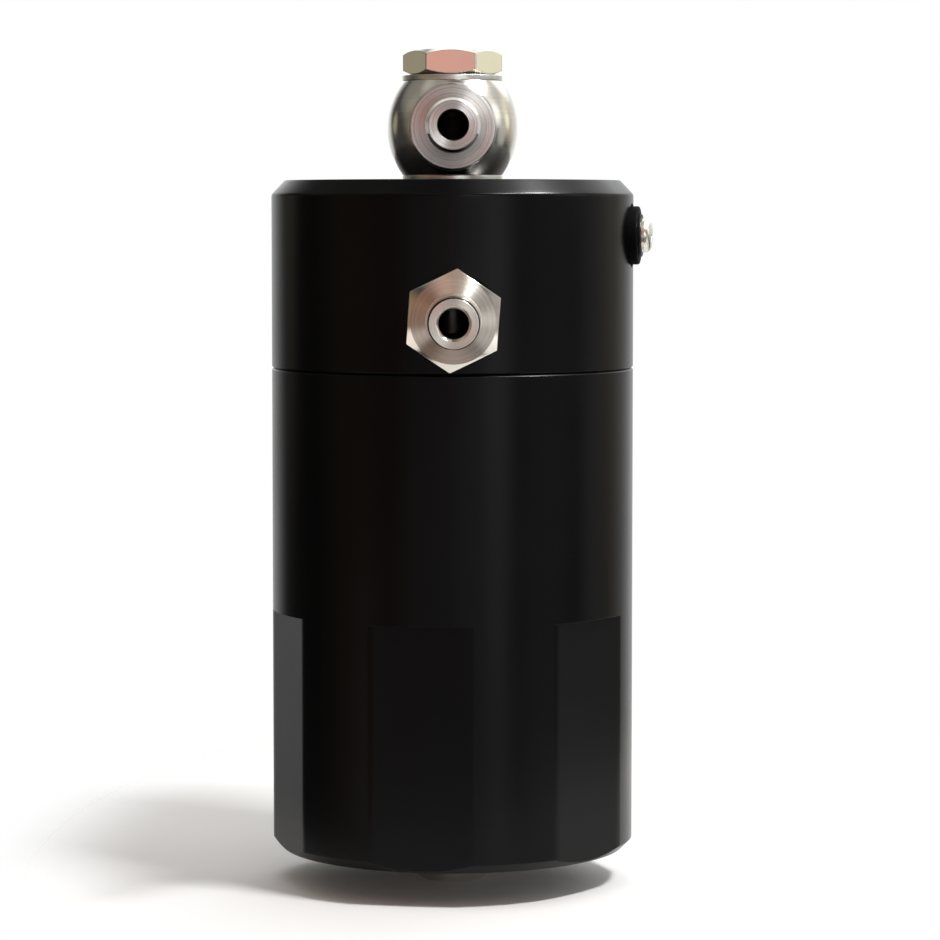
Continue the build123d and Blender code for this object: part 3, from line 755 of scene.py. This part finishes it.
def make_banjo():
    """Barrel turned to an arc through its seats and widest ring, joined to a turned neck and hose tail."""
    low, high, widest = banjo_low.z, banjo_high.z, banjo_high.y
    half = (high - low) / 2
    swell = widest - BANJO_SEAT_RADIUS
    arc_radius = (half**2 + swell**2) / (2 * swell)
    lean = math.asin(half / arc_radius)
    arc = [
        (widest - arc_radius * (1 - math.cos(a)), BANJO_MIDDLE + arc_radius * math.sin(a), 0)
        for a in np.linspace(-lean, lean, BARREL_ARC_STEPS)[1:-1]
    ]
    corners = [
        (BANJO_BORE_RADIUS, low, SOFT_EDGE),
        (BANJO_SEAT_RADIUS, low, FINE_EDGE),
        *arc,
        (BANJO_SEAT_RADIUS, high, FINE_EDGE),
        (BANJO_BORE_RADIUS, high, SOFT_EDGE),
    ]
    barrel = turned("banjo", corners, round_angles(BARREL_STEPS))
    neck_corners = [
        (0, NECK_ROOT, 0),
        (NECK_RADIUS, NECK_ROOT, 0),
        (NECK_RADIUS, NECK_REACH - NECK_CHAMFER, EDGE),
        (NECK_RADIUS - NECK_CHAMFER, NECK_REACH, EDGE),
        *barbs(NECK_REACH, TAIL_END, TAIL_ROOT, TAIL_CREST, TAIL_TIP, TAIL_PITCH),
        (0, TAIL_END, 0),
    ]
    neck = turned("neck", neck_corners, round_angles(NECK_STEPS), TAIL_AXIS, closed=False)
    cut_or_join(barrel, [neck], "UNION")
    chamfer_end = TAIL_END - TAIL_BORE_CHAMFER
    bore_corners = [
        (0, NECK_ROOT / 2, 0),
        (TAIL_BORE_RADIUS, NECK_ROOT / 2, 0),
        (TAIL_BORE_RADIUS, chamfer_end, 0),
        (TAIL_BORE_RADIUS + TOOL_REACH, chamfer_end + TOOL_REACH, 0),
        (0, chamfer_end + TOOL_REACH, 0),
    ]
    bore = turned("tail_drill", bore_corners, round_angles(TAIL_BORE_STEPS), TAIL_AXIS, closed=False)
    return cut_or_join(barrel, [bore], "DIFFERENCE")


def neck_faces(centres):
    """Rule that picks the neck and hose tail: all before the bolt's hole and inside the neck's radius."""
    height, distance = arms_of(centres, TAIL_AXIS)
    _, from_bolt = arms_of(centres, CAN_AXIS)
    return (height > 0) & (distance < NECK_RADIUS) & (from_bolt > BANJO_BORE_RADIUS + EDGE)


def tail_edges(centres):
    """Rule that picks the outer sides of the hose tail, up to its end face."""
    height, distance = arms_of(centres, TAIL_AXIS)
    outer = neck_faces(centres) & (distance > TAIL_BORE_RADIUS + TAIL_BORE_CHAMFER)
    return outer & (height > NECK_REACH + EDGE) & (height < TAIL_END - FINE_EDGE)


def banjo_bores(centres):
    """Rule that picks, for painted shade, the walls of the tail's bore with the chamfer at its mouth, and of
    the bolt's hole.
    """
    height, from_tail = arms_of(centres, TAIL_AXIS)
    _, from_bolt = arms_of(centres, CAN_AXIS)
    in_tail = (height > 0) & (from_tail < TAIL_BORE_RADIUS + TAIL_BORE_CHAMFER)
    return in_tail | (from_bolt < BANJO_BORE_RADIUS + FINE_EDGE)


def bolt_shank(centres):
    """Rule that picks all of the bolt under its head, for painted shade."""
    return centres[:, 2] < BOLT_SEAT


def make_bolt():
    """Hexagon over a plain shank with a waist, bored from below and drilled across at the tail's height."""
    corner = corner_of("banjo_bolt", CAN_AXIS)
    angles = hexagon_angles(corner)
    top, end = bolt_high.z, bolt_low.z
    waist_low, waist_high = BANJO_MIDDLE - BOLT_WAIST_LENGTH / 2, BANJO_MIDDLE + BOLT_WAIST_LENGTH / 2
    roof = BANJO_MIDDLE + BOLT_BORE_ROOF
    corners = [
        (0, roof, 0),
        (BOLT_BORE_RADIUS, roof, FINE_EDGE),
        (BOLT_BORE_RADIUS, end, FINE_EDGE),
        (FASTENER_RADIUS - BOLT_END_CHAMFER, end, FINE_EDGE),
        (FASTENER_RADIUS, end + BOLT_END_CHAMFER, FINE_EDGE),
        (FASTENER_RADIUS, waist_low - BOLT_WAIST_TAPER, FINE_EDGE),
        (BOLT_WAIST_RADIUS, waist_low, FINE_EDGE),
        (BOLT_WAIST_RADIUS, waist_high, FINE_EDGE),
        (FASTENER_RADIUS, waist_high + BOLT_WAIST_TAPER, FINE_EDGE),
        (FASTENER_RADIUS, BOLT_SEAT, FINE_EDGE),
        *hexagon_corners(angles, corner, HEXAGON, BOLT_SEAT, top),
        (0, top, 0),
    ]
    bolt = turned("hollow_bolt", corners, angles, closed=False)
    side_axis = Axis(TAIL_AXIS.origin, (1, 0, 0), (0, 1, 0), (0, 0, 1))
    cross = [
        (0, -TOOL_REACH, 0),
        (BOLT_CROSS_RADIUS, -TOOL_REACH, 0),
        (BOLT_CROSS_RADIUS, TOOL_REACH, 0),
        (0, TOOL_REACH, 0),
    ]
    for axis in (TAIL_AXIS, side_axis):
        drill = turned("cross_drill", cross, round_angles(BOLT_CROSS_STEPS), axis, closed=False)
        cut_or_join(bolt, [drill], "DIFFERENCE")
    return bolt


def make_washer(name, node_name, bore, axis):
    """Flat ring with eased edges, as thick and wide as the solid it stands for."""
    low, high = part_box(node_name)
    heights = sorted(Vector(axis.along).dot(corner - Vector(axis.origin)) for corner in (low, high))
    outer = (high.z - low.z) / 2 if axis is not CAN_AXIS else high.x
    corners = ring_corners(bore, outer, *heights, WASHER_EDGE)
    return turned(name, corners, round_angles(WASHER_STEPS), axis)


# Inlet union
INLET_THREAD_LENGTH = 8.0 * MM
INLET_THREAD_CHAMFER = 1.0 * MM
INLET_HEX_THICKNESS = 9.5 * MM
INLET_SHOULDER_RISE = 1.2 * MM
INLET_HEX_FRONT = INLET_HEX_BACK + INLET_HEX_THICKNESS
INLET_SHOULDER = INLET_HEX_FRONT + INLET_SHOULDER_RISE
INLET_SHOULDER_RADIUS = 5.85 * MM
INLET_TAIL_ROOT = 4.4 * MM
INLET_TAIL_CREST = 5.4 * MM
INLET_TAIL_TIP = 5.1 * MM
INLET_TAIL_PITCH = 4.4 * MM
INLET_BORE_RADIUS = 3.1 * MM
INLET_BORE_CHAMFER = 0.5 * MM


def make_inlet():
    """Plain shank where the thread goes, hexagon, shallow cone and barbed tail in one outline round the bore.
    """
    corner = corner_of("inlet_union", INLET_AXIS)
    angles = hexagon_angles(corner)
    thread_end = INLET_HEX_BACK - INLET_THREAD_LENGTH
    corners = [
        (INLET_BORE_RADIUS, thread_end, EDGE),
        (FASTENER_RADIUS - INLET_THREAD_CHAMFER, thread_end, FINE_EDGE),
        (FASTENER_RADIUS, thread_end + INLET_THREAD_CHAMFER, FINE_EDGE),
        (FASTENER_RADIUS, INLET_HEX_BACK, FINE_EDGE),
        *hexagon_corners(angles, corner, HEXAGON, INLET_HEX_BACK, INLET_HEX_FRONT),
        (INLET_SHOULDER_RADIUS, INLET_SHOULDER, FINE_EDGE),
        *barbs(
            INLET_SHOULDER, INLET_END, INLET_TAIL_ROOT, INLET_TAIL_CREST, INLET_TAIL_TIP, INLET_TAIL_PITCH
        ),
        (INLET_BORE_RADIUS + INLET_BORE_CHAMFER, INLET_END, FINE_EDGE),
        (INLET_BORE_RADIUS, INLET_END - INLET_BORE_CHAMFER, FINE_EDGE),
    ]
    return turned("hose_inlet", corners, angles, INLET_AXIS)


def inlet_edges(centres):
    """Rule that picks the sides of the inlet's hose tail and the chamfer of its bore, up to its end face."""
    height, _ = arms_of(centres, INLET_AXIS)
    return (height > INLET_SHOULDER + EDGE) & (height < INLET_END - FINE_EDGE)


def inlet_bore(centres):
    """Rule that picks the wall of the inlet's bore, for painted shade."""
    _, distance = arms_of(centres, INLET_AXIS)
    return distance < INLET_BORE_RADIUS + FINE_EDGE


# Mounting point: rubber disc, black washer and button-head screw, with heights from the pocket's floor
MOUNT_STEPS = 120
ISOLATOR_RADIUS = 6.4 * MM
ISOLATOR_THICKNESS = 3.1 * MM
ISOLATOR_RIM = 0.5 * MM
MOUNT_WASHER_RADIUS = 4.7 * MM
MOUNT_WASHER_THICKNESS = 0.6 * MM
SCREW_RADIUS = 2.0 * MM
SCREW_BORE_RADIUS = 2.15 * MM
SCREW_REACH = 9.0 * MM
SCREW_HEAD_RADIUS = 3.8 * MM
SCREW_HEAD_HEIGHT = 2.0 * MM
SCREW_HEAD_TOP = 1.8 * MM
SCREW_HEAD_RIM = 0.5 * MM
SCREW_DOME_STEPS = 16
SCREW_SOCKET = 2.5 * MM
SCREW_SOCKET_DEPTH = 1.3 * MM


def make_mount_rings():
    """Rubber disc with a soft rim, and the thin washer on it."""
    disc_top = ISOLATOR_THICKNESS
    washer_top = disc_top + MOUNT_WASHER_THICKNESS
    disc = [
        (SCREW_BORE_RADIUS, 0, EDGE),
        (ISOLATOR_RADIUS, 0, EDGE),
        (ISOLATOR_RADIUS, disc_top, ISOLATOR_RIM),
        (SCREW_BORE_RADIUS, disc_top, EDGE),
    ]
    washer = [
        (SCREW_BORE_RADIUS, disc_top, FINE_EDGE),
        (MOUNT_WASHER_RADIUS, disc_top, FINE_EDGE),
        (MOUNT_WASHER_RADIUS, washer_top, SOFT_EDGE),
        (SCREW_BORE_RADIUS, washer_top, FINE_EDGE),
    ]
    angles = round_angles(MOUNT_STEPS)
    return turned("rubber_disc", disc, angles, MOUNT_AXIS), turned("small_washer", washer, angles, MOUNT_AXIS)


def make_screw():
    """Button head on an arc that starts upright at its rim, with a hexagon socket and a plain shank."""
    seat = ISOLATOR_THICKNESS + MOUNT_WASHER_THICKNESS
    top, end = seat + SCREW_HEAD_HEIGHT, -SCREW_REACH
    angles = hexagon_angles(0.0)
    socket = hexagon_radius(angles, 0.0, SCREW_SOCKET)
    rise = SCREW_HEAD_HEIGHT - SCREW_HEAD_RIM
    inset = SCREW_HEAD_RADIUS - SCREW_HEAD_TOP
    arc_radius = (rise**2 + inset**2) / (2 * inset)
    centre = SCREW_HEAD_RADIUS - arc_radius
    sweep = math.atan2(rise, SCREW_HEAD_TOP - centre)
    dome = [
        (centre + arc_radius * math.cos(a), seat + SCREW_HEAD_RIM + arc_radius * math.sin(a), 0)
        for a in np.linspace(0, sweep, SCREW_DOME_STEPS)
    ]
    corners = [
        (0, end, 0),
        (SCREW_RADIUS, end, SOFT_EDGE),
        (SCREW_RADIUS, seat, FINE_EDGE),
        (SCREW_HEAD_RADIUS, seat, FINE_EDGE),
        *dome,
        (socket, top, FINE_EDGE),
        (socket, top - SCREW_SOCKET_DEPTH, FINE_EDGE),
        (0, top - SCREW_SOCKET_DEPTH, 0),
    ]
    return turned("button_screw", corners, angles, MOUNT_AXIS, closed=False)


# Drain plug
PLUG_HEXAGON = 14.0 * MM
PLUG_THREAD_RADIUS = 5.85 * MM
PLUG_THREAD_PITCH = 1.5 * MM
PLUG_THREAD_DEPTH = 0.75 * MM
PLUG_THREAD_START = 1.0 * MM
PLUG_END_CHAMFER = 1.0 * MM


def make_plug():
    """Hexagon that the can stands on, under a threaded shank."""
    corner = corner_of("drain_plug", CAN_AXIS)
    angles = hexagon_angles(corner)
    seat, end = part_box("drain_washer")[0].z, plug_high.z
    thread_low, thread_high = seat + PLUG_THREAD_START, end - PLUG_END_CHAMFER
    corners = [
        (0, plug_low.z, 0),
        *hexagon_corners(angles, corner, PLUG_HEXAGON, plug_low.z, seat),
        (PLUG_THREAD_RADIUS, seat, FINE_EDGE),
        *thread_rows(PLUG_THREAD_RADIUS, thread_low, thread_high),
        (PLUG_THREAD_RADIUS - PLUG_END_CHAMFER, end, EDGE),
        (0, end, 0),
    ]
    outline = eased(corners, angles, False)
    threaded(
        outline, angles, PLUG_THREAD_RADIUS, thread_low, thread_high, PLUG_THREAD_PITCH, PLUG_THREAD_DEPTH
    )
    return lathe("plug", outline, angles, CAN_AXIS, False)


# Ring seal
SEAL_STEPS = 240
SEAL_ROUND = 0.8 * MM
SEAL_INSIDE_RADIUS = 34.23 * MM


def make_seal():
    """Ring of a rounded square section, as the groove presses it."""
    low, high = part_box("bowl_seal")
    corners = ring_corners(SEAL_INSIDE_RADIUS, high.x, low.z, high.z, SEAL_ROUND)
    return turned("seal_ring", corners, round_angles(SEAL_STEPS))


# Pieces on their bodies
rubber_disc, small_washer = make_mount_rings()
placed(make_head(), "head", "head", anodised)
placed(make_bowl(), "bowl", "bowl", anodised)
placed(make_seal(), "bowl_seal", "bowl_seal", rubber)
banjo = placed(make_banjo(), "banjo_union", "banjo_union", upright_steel)
more_materials(banjo, (tail_steel, neck_faces), (tail_polish, tail_edges), (bore_painted_shade, banjo_bores))
hollow_bolt = placed(make_bolt(), "banjo_bolt", "head", upright_steel)
more_materials(hollow_bolt, (bore_painted_shade, bolt_shank), (upright_bar, hexagon_sides(CAN_AXIS, HEXAGON)))
hose_inlet = placed(make_inlet(), "inlet_union", "head", inlet_steel)
inlet_sides = hexagon_sides(INLET_AXIS, HEXAGON)
more_materials(hose_inlet, (inlet_bar, inlet_sides), (inlet_polish, inlet_edges), (bore_painted_shade, inlet_bore))
placed(rubber_disc, "mount_isolator", "head", rubber)
placed(small_washer, "mount_washer", "head", black_steel)
placed(make_screw(), "mount_screw", "head", screw_steel)
plug = placed(make_plug(), "drain_plug", "drain_plug", upright_steel)
more_materials(plug, (upright_bar, hexagon_sides(CAN_AXIS, PLUG_HEXAGON)))
for ring_name, ring_node, ring_body, ring_bore, ring_axis in (
    ("upper_crush_ring", "banjo_upper_washer", "head", PORT_RADIUS, CAN_AXIS),
    ("lower_crush_ring", "banjo_lower_washer", "head", PORT_RADIUS, CAN_AXIS),
    ("inlet_crush_ring", "inlet_washer", "head", PORT_RADIUS, INLET_AXIS),
    ("drain_crush_ring", "drain_washer", "drain_washer", DRAIN_RADIUS, CAN_AXIS),
):
    ring = make_washer(ring_name, ring_node, ring_bore, ring_axis)
    placed(ring, ring_node, ring_body, aluminium)
for inner_node, finish in (
    ("outlet_tube", aluminium),
    ("upper_baffle", aluminium),
    ("lower_baffle", aluminium),
    ("mesh_pad", wire),
    ("retaining_clip", black_steel),
):
    inner = frame["nodes"][inner_node]
    inner.data.materials.clear()
    inner.data.materials.append(finish)


# Studio: pale floor, white surroundings behind and a dim room on the camera's side
PAPER = "#FAFAFA"
WHITE = "#FFFFFF"
COOL_WHITE = "#F9FBFA"
FLOOR_MIDDLE = Vector((0.05, 0.03, 0.0))
FLOOR_SOLID = 0.12
FLOOR_REACH = 0.16
FLOOR_STRETCH = 1.7
FLOOR_FRONT = -0.13


def make_floor():
    """Pale paper, whole round the can and its shadow, that thins out over an oval before its edges."""
    material, tree = new_material("pale_paper_floor")
    place = node(tree, "ShaderNodeTexCoord", {}).outputs["Object"]
    oval = (1, 1 / FLOOR_STRETCH, 1)
    arm = node(tree, "ShaderNodeVectorMath", {0: place, 1: FLOOR_MIDDLE}, operation="SUBTRACT")
    squeezed = node(tree, "ShaderNodeVectorMath", {0: arm.outputs["Vector"], 1: oval}, operation="MULTIPLY")
    distance = node(tree, "ShaderNodeVectorMath", {0: squeezed.outputs["Vector"]}, operation="LENGTH")
    thinness = node(
        tree,
        "ShaderNodeMapRange",
        {"Value": distance.outputs["Value"], "From Min": FLOOR_SOLID, "From Max": FLOOR_REACH},
        interpolation_type="SMOOTHSTEP",
    ).outputs["Result"]
    paper = node(tree, "ShaderNodeBsdfDiffuse", {"Color": linear(PAPER)}).outputs["BSDF"]
    nothing = node(tree, "ShaderNodeBsdfTransparent", {}).outputs["BSDF"]
    mixed = node(tree, "ShaderNodeMixShader", {0: thinness, 1: paper, 2: nothing})
    node(tree, "ShaderNodeOutputMaterial", {"Surface": mixed.outputs["Shader"]})
    mesh = bpy.data.meshes.new("floor")
    left, right = FLOOR_MIDDLE.x - FLOOR_REACH, FLOOR_MIDDLE.x + FLOOR_REACH
    near, far = FLOOR_FRONT, FLOOR_MIDDLE.y + FLOOR_REACH * FLOOR_STRETCH
    corners = [(left, near, 0), (right, near, 0), (right, far, 0), (left, far, 0)]
    mesh.from_pydata(corners, [], [(0, 1, 2, 3)])
    mesh.materials.append(material)
    floor = bpy.data.objects.new("floor", mesh)
    bpy.context.scene.collection.objects.link(floor)


def towards(azimuth, elevation):
    """Unit vector to a place in the room: degrees round from the front to the right, and degrees up."""
    azimuth, elevation = math.radians(azimuth), math.radians(elevation)
    level = math.cos(elevation)
    return Vector((math.sin(azimuth) * level, -math.cos(azimuth) * level, math.sin(elevation)))


# Soft fields of the room: azimuth, elevation, inner and outer angle in degrees, colour and strength
FIELDS = (
    # White surroundings behind the can
    (172, 0, 12, 50, COOL_WHITE, 1.0),
    (-160, 18, 8, 25, COOL_WHITE, 0.35),
    (147, 33, 8, 22, COOL_WHITE, 1.6),
    (180, 57, 8, 18, COOL_WHITE, 1.6),
    (180, 30, 10, 30, COOL_WHITE, 0.5),
    # Pale panels on the right
    (122, 8, 10, 22, "#FFF6DC", 0.45),
    (116, 6, 4, 8, "#F6FAE0", 0.7),
    (100, 38, 20, 42, "#FFFCF6", 0.6),
    (86, 14, 7, 16, WHITE, 0.8),
    (75, 22, 10, 24, WHITE, 0.4),
    (90, -45, 12, 30, WHITE, 0.8),
    (99, -6, 5, 14, WHITE, 0.5),
    (62, -9, 8, 24, WHITE, 0.35),
    # Small panels and warm walls in front
    (28, 0, 3, 13, WHITE, 1.7),
    (35, 0, 15, 50, "#FFEAE0", 0.16),
    (13, 13, 4, 10, WHITE, 4.5),
    (0, -2, 6, 18, WHITE, 0.3),
    (0, 48, 8, 30, "#FFDCCA", 0.45),
    (10, -8, 4, 12, WHITE, 0.35),
    (-6, 4, 3, 6, "#FF7C50", 0.78),
    (-20, -6, 6, 16, "#F4F8FF", 0.4),
    (-30, 18, 6, 16, "#FFA880", 0.2),
    (-18, 36, 6, 18, "#FFBEA0", 0.26),
    (-50, -4, 12, 42, "#FFB488", 0.2),
    (-5, -42, 12, 30, "#FFC4A6", 0.18),
    # Cream walls on the left
    (-75, 15, 12, 30, "#DCD2AC", 0.2),
    (-60, 60, 10, 26, "#ECE8DE", 0.4),
    (-124, 4, 5, 9, "#D8D0B0", 0.54),
    (-100, 42, 12, 34, "#F4F0E6", 0.25),
    (-145, -3, 4, 12, WHITE, 0.4),
    # Pale table below
    (0, -90, 30, 42, WHITE, 1.2),
    (57, -28, 8, 16, WHITE, 1.1),
    (-57, -23, 8, 16, WHITE, 1.1),
)
DIM_ROOM = 0.05


def make_world():
    """White to the camera; for light and reflections, a dim room with the soft fields added up over it."""
    world = bpy.data.worlds.new("studio")
    bpy.context.scene.world = world
    world.use_nodes = True
    tree = world.node_tree
    tree.nodes.clear()
    way = node(tree, "ShaderNodeTexCoord", {}).outputs["Generated"]
    total = (DIM_ROOM, DIM_ROOM, DIM_ROOM, 1)
    for azimuth, elevation, inner, outer, colour, strength in FIELDS:
        pair = {0: way, 1: towards(azimuth, elevation)}
        facing = node(tree, "ShaderNodeVectorMath", pair, operation="DOT_PRODUCT").outputs["Value"]
        share = node(
            tree,
            "ShaderNodeMapRange",
            {
                "Value": facing,
                "From Min": math.cos(math.radians(outer)),
                "From Max": math.cos(math.radians(inner)),
                "To Max": strength,
            },
            interpolation_type="SMOOTHSTEP",
        ).outputs["Result"]
        total = node(
            tree,
            "ShaderNodeMix",
            {"Factor": share, "A": total, "B": linear(colour)},
            data_type="RGBA",
            blend_type="ADD",
            clamp_factor=False,
        ).outputs["Result"]
    paths = node(tree, "ShaderNodeLightPath", {})
    shown = node(
        tree,
        "ShaderNodeMix",
        {"Factor": paths.outputs["Is Camera Ray"], "A": total, "B": linear(WHITE)},
        data_type="RGBA",
    ).outputs["Result"]
    background = node(tree, "ShaderNodeBackground", {"Color": shown, "Strength": 1.0})
    node(tree, "ShaderNodeOutputWorld", {"Surface": background.outputs["Background"]})


# Lights: azimuth, elevation, width and height in metres, share of a white floor's light, and whether matt
# surfaces and glossy ones show it. The last two are for the gloss on the edges alone.
LIGHTS = {
    "key": (48, 58, 0.22, 0.08, 0.55, True, True),
    "overhead": (0, 85, 0.9, 0.9, 0.17, True, False),
    "softbox": (110, 69, 0.45, 0.65, 0.08, False, True),
    "glint": (84, 61, 0.12, 0.12, 1.3, False, True),
}
LIGHT_DISTANCE = 1.1


def make_light(name, azimuth, elevation, width, height, share, on_matt, on_gloss):
    """Soft light aimed at the can's foot, with the watts that give its share of a white floor's light."""
    lamp = bpy.data.lights.new(name, "AREA")
    lamp.shape = "RECTANGLE"
    lamp.size = width
    lamp.size_y = height
    lamp.energy = share * math.pi**2 * LIGHT_DISTANCE**2 / math.sin(math.radians(elevation))
    light = bpy.data.objects.new(name, lamp)
    way = towards(azimuth, elevation)
    light.location = way * LIGHT_DISTANCE
    light.rotation_euler = way.to_track_quat("Z", "Y").to_euler()
    light.visible_diffuse = on_matt
    light.visible_glossy = on_gloss
    bpy.context.scene.collection.objects.link(light)


# Camera: the photograph's eye in metres, its lens and sensor in millimetres, and how far it is turned
EYE = (-3.0 * MM, -796.7 * MM, 149.3 * MM)
LENS = 137.55
SENSOR_WIDTH = 36.0
TURN_DOWN = math.radians(4.158)
TURN_RIGHT = math.radians(0.4945)


def make_camera():
    """Camera with no shift, turned a little down and to the right."""
    data = bpy.data.cameras.new("camera")
    data.lens = LENS
    data.sensor_width = SENSOR_WIDTH
    camera = bpy.data.objects.new("camera", data)
    camera.location = EYE
    camera.rotation_euler = (math.pi / 2 - TURN_DOWN, 0, -TURN_RIGHT)
    bpy.context.scene.collection.objects.link(camera)
    bpy.context.scene.camera = camera


make_floor()
make_world()
for name, settings in LIGHTS.items():
    make_light(name, *settings)
make_camera()
bpy.context.scene.view_settings.view_transform = "Standard"
